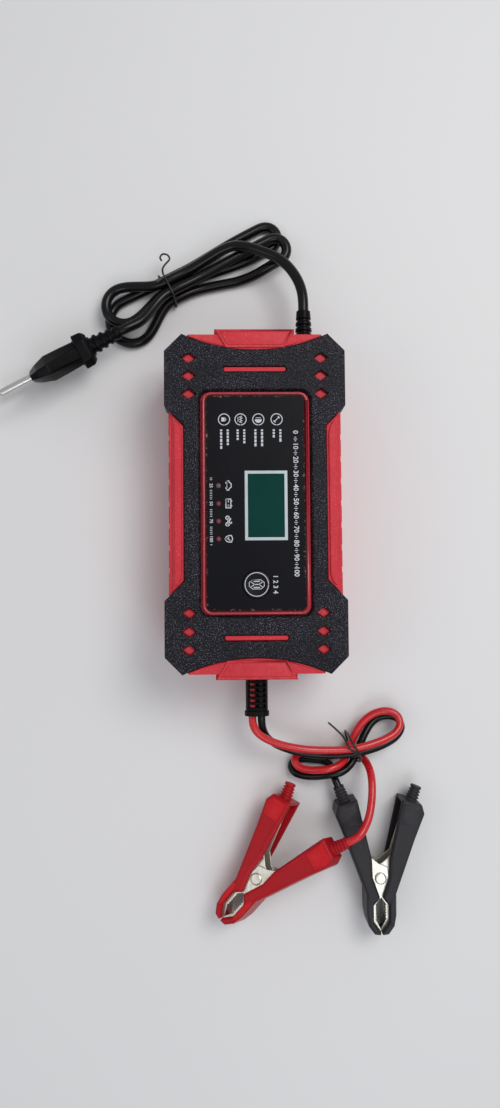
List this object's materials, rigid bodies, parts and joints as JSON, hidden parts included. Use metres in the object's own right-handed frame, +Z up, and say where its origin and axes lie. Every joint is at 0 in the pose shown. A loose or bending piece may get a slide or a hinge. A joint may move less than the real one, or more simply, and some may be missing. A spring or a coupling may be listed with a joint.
{
  "type": "car battery charger",
  "caption": "Car battery charger: red ribbed housing with black armoured cover, display and mode key, fan, mains lead in a tied hank with flat plug, and output leads with two spring clamps.",
  "frame": {"origin": "on the surface it stands on, under the middle of the housing", "axes": "+Y along the housing towards the mains end, +X to the right seen from above, +Z up"},
  "size_m": [0.2199, 0.3779, 0.05],
  "materials": {
    "red_shell": "moulded ABS, fine spark-eroded grain",
    "black_cover": "hard plastic with a coarse sparkling grain",
    "panel_print": "satin printed film",
    "pale_plastic": "satin moulded plastic",
    "display_glass": "dark liquid crystal glass",
    "light_lens": "unlit diffused epoxy lens",
    "black_plastic": "moulded nylon",
    "circuit_board": "solder mask",
    "steel": "zinc plated steel",
    "ferrite": "ferrite and tape",
    "sleeve": "shrunk sleeve",
    "aluminium": "extruded",
    "copper_wire": "enamelled copper winding",
    "fuse_body": "moulded fuse",
    "rubber": "soft rubber",
    "black_cable": "PVC jacket",
    "red_cable": "PVC jacket",
    "plug_plastic": "moulded PVC",
    "nickel": "nickel plated",
    "red_grip": "satin vinyl",
    "black_grip": "satin vinyl"
  },
  "bodies": {
    "charger": {"base_shell": "red_shell", "top_shell": "red_shell", "top_cover": "black_cover", "label_panel": "panel_print", "lcd_bezel": "pale_plastic", "lcd_glass": "display_glass", "lcd_backlight": "pale_plastic", "status_leds": "light_lens", "switch_body": "black_plastic", "display_board": "circuit_board", "display_screws": "steel", "main_board": "circuit_board", "board_screws": "steel", "transformer": "ferrite", "mains_capacitor": "sleeve", "output_capacitors": "sleeve", "heatsinks": "aluminium", "transistors": "black_plastic", "choke": "copper_wire", "fuse": "fuse_body", "fan_frame": "black_plastic", "fan_guard": "black_cover", "rubber_feet": "rubber", "housing_screws": "steel", "mains_gland": "black_plastic", "dc_gland": "black_plastic", "mains_cord": "black_cable", "mains_hank": "black_cable", "mains_cord_end": "black_cable", "mains_tie": "black_cable", "plug_body": "plug_plastic", "plug_pins": "nickel", "red_lead": "red_cable", "black_lead": "black_cable", "dc_tie": "black_cable", "red_cover_fixed": "red_grip", "red_jaw_fixed": "nickel", "red_rivet": "steel", "red_spring": "steel", "black_cover_fixed": "black_grip", "black_jaw_fixed": "nickel", "black_rivet": "steel", "black_spring": "steel"},
    "mode_key": {"mode_key": "black_plastic", "switch_plunger": "pale_plastic"},
    "fan_rotor": {"fan_rotor": "black_plastic"},
    "red_arm": {"red_cover_moving": "red_grip", "red_jaw_moving": "nickel"},
    "black_arm": {"black_cover_moving": "black_grip", "black_jaw_moving": "nickel"}
  },
  "joints": [
    {"name": "mode_key_press", "type": "slide", "parent": "charger", "child": "mode_key", "axis": [0, 0, -1], "range_m": [0, 0.0005], "stiffness_N_per_m": 400, "springref_m": -0.0003},
    {"name": "fan_spin", "type": "hinge", "parent": "charger", "child": "fan_rotor", "pos_m": [-0.00825, 0.0736, 0.02385], "axis": [0, 1, 0], "continuous": true},
    {"name": "red_clamp_open", "type": "hinge", "parent": "charger", "child": "red_arm", "pos_m": [0.0019, -0.1894, 0.013], "axis": [0.3914, -0.1939, -0.8996], "range_deg": [0, 28], "stiffness_Nm_per_rad": 0.04, "springref_deg": -45.84, "deforming": ["red_spring"]},
    {"name": "black_clamp_open", "type": "hinge", "parent": "charger", "child": "black_arm", "pos_m": [0.0636, -0.1902, 0.0086], "axis": [0, 0, 1], "range_deg": [0, 28], "stiffness_Nm_per_rad": 0.04, "springref_deg": -45.84, "deforming": ["black_spring"]}
  ]
}
